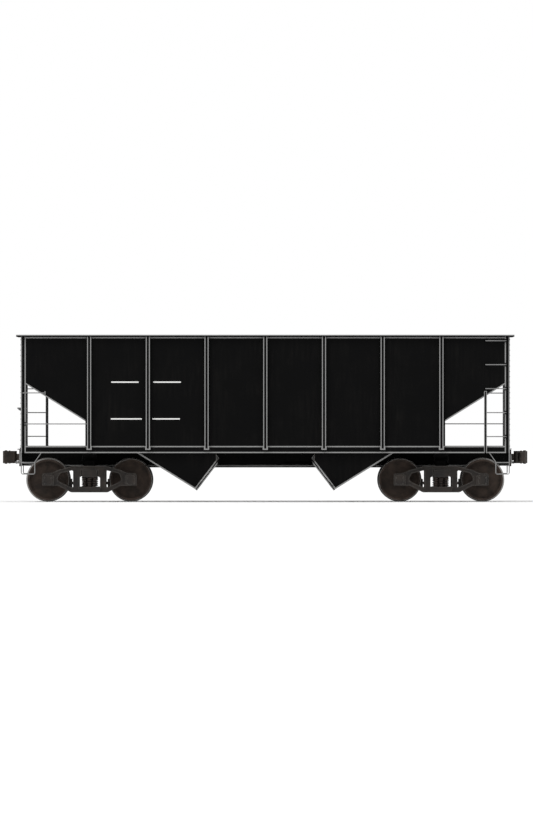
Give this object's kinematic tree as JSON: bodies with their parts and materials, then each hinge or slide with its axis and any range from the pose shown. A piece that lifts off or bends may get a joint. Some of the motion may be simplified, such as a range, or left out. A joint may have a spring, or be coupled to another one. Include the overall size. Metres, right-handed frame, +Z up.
{
  "type": "open hopper wagon",
  "caption": "Riveted open-top hopper wagon: staked steel sides, slope sheets, drop doors in two bays, ladders, knuckle couplers and bogies.",
  "frame": {"origin": "under the middle of the wagon, at the level of the lowest points of the wheel flanges; the rail head is 26 mm higher", "axes": "+X along the wagon toward the end without the hand brake, -Y toward the viewer of the picture, +Z up"},
  "size_m": [10.644, 3.123, 3.3769],
  "materials": {
    "body_paint": "dull black paint",
    "worn_sheet": "worn and dusty sheet",
    "grey_paint": "mid grey paint",
    "cast_steel": "dark cast surface",
    "wheel_steel": "brown steel with bright treads",
    "spring_steel": "dark steel"
  },
  "bodies": {
    "wagon_body": {"side_panels_far": "body_paint", "side_panels_near": "body_paint", "side_posts_far": "body_paint", "side_posts_near": "body_paint", "corner_posts": "body_paint", "side_sills": "body_paint", "side_copings": "body_paint", "end_copings": "body_paint", "end_sheets": "body_paint", "slope_sheets": "worn_sheet", "cross_ridge": "worn_sheet", "door_headers": "worn_sheet", "chute_walls": "body_paint", "ledges": "worn_sheet", "centre_hoods": "worn_sheet", "centre_sill": "body_paint", "end_sills": "body_paint", "end_frames": "body_paint", "strikers": "cast_steel", "body_bolsters": "body_paint", "centre_plates": "cast_steel", "hinge_brackets": "body_paint", "draft_gears": "cast_steel", "sill_steps": "grey_paint", "side_ladders": "grey_paint", "end_ladders": "grey_paint", "handholds": "grey_paint", "cross_ties": "worn_sheet", "brake_bed": "body_paint", "brake_cylinder": "body_paint", "air_reservoir": "body_paint", "control_valve": "cast_steel", "brake_rods": "body_paint", "hand_brake": "grey_paint", "brake_step": "grey_paint", "train_pipe": "body_paint", "uncoupling_levers": "grey_paint", "door_locks": "cast_steel"},
    "bogie_left": {"side_frames_left": "cast_steel", "bolster_left": "cast_steel", "springs_left": "spring_steel", "brake_beams_left": "cast_steel"},
    "wheelset_left_outer_body": {"wheelset_left_outer": "wheel_steel"},
    "wheelset_left_inner_body": {"wheelset_left_inner": "wheel_steel"},
    "doors_left_body": {"doors_left": "body_paint"},
    "coupler_left_body": {"coupler_left": "cast_steel"},
    "knuckle_left_body": {"knuckle_left": "cast_steel"},
    "bogie_right": {"side_frames_right": "cast_steel", "bolster_right": "cast_steel", "springs_right": "spring_steel", "brake_beams_right": "cast_steel"},
    "wheelset_right_outer_body": {"wheelset_right_outer": "wheel_steel"},
    "wheelset_right_inner_body": {"wheelset_right_inner": "wheel_steel"},
    "doors_right_body": {"doors_right": "body_paint"},
    "coupler_right_body": {"coupler_right": "cast_steel"},
    "knuckle_right_body": {"knuckle_right": "cast_steel"}
  },
  "joints": [
    {"name": "bogie_left_swivel", "type": "hinge", "parent": "wagon_body", "child": "bogie_left", "pos_m": [-3.558, 0, 0.68], "axis": [0, 0, 1], "range_deg": [-8, 8]},
    {"name": "wheelset_left_outer_roll", "type": "hinge", "parent": "bogie_left", "child": "wheelset_left_outer_body", "pos_m": [-4.396, 0, 0.445], "axis": [0, 1, 0], "continuous": true},
    {"name": "wheelset_left_inner_roll", "type": "hinge", "parent": "bogie_left", "child": "wheelset_left_inner_body", "pos_m": [-2.72, 0, 0.445], "axis": [0, 1, 0], "continuous": true},
    {"name": "doors_left_drop", "type": "hinge", "parent": "wagon_body", "child": "doors_left_body", "pos_m": [-0.96, 0, 0.88], "axis": [0, -1, 0], "range_deg": [0, 60]},
    {"name": "coupler_left_swing", "type": "hinge", "parent": "wagon_body", "child": "coupler_left_body", "pos_m": [-4.6, 0, 0.902], "axis": [0, 0, 1], "range_deg": [-7, 7]},
    {"name": "knuckle_left_open", "type": "hinge", "parent": "coupler_left_body", "child": "knuckle_left_body", "pos_m": [-5.19, 0.112, 0.902], "axis": [0, 0, -1], "range_deg": [0, 45]},
    {"name": "bogie_right_swivel", "type": "hinge", "parent": "wagon_body", "child": "bogie_right", "pos_m": [3.558, 0, 0.68], "axis": [0, 0, 1], "range_deg": [-8, 8]},
    {"name": "wheelset_right_outer_roll", "type": "hinge", "parent": "bogie_right", "child": "wheelset_right_outer_body", "pos_m": [4.396, 0, 0.445], "axis": [0, 1, 0], "continuous": true},
    {"name": "wheelset_right_inner_roll", "type": "hinge", "parent": "bogie_right", "child": "wheelset_right_inner_body", "pos_m": [2.72, 0, 0.445], "axis": [0, 1, 0], "continuous": true},
    {"name": "doors_right_drop", "type": "hinge", "parent": "wagon_body", "child": "doors_right_body", "pos_m": [0.96, 0, 0.88], "axis": [0, 1, 0], "range_deg": [0, 60]},
    {"name": "coupler_right_swing", "type": "hinge", "parent": "wagon_body", "child": "coupler_right_body", "pos_m": [4.6, 0, 0.902], "axis": [0, 0, 1], "range_deg": [-7, 7]},
    {"name": "knuckle_right_open", "type": "hinge", "parent": "coupler_right_body", "child": "knuckle_right_body", "pos_m": [5.19, -0.112, 0.902], "axis": [0, 0, -1], "range_deg": [0, 45]}
  ]
}
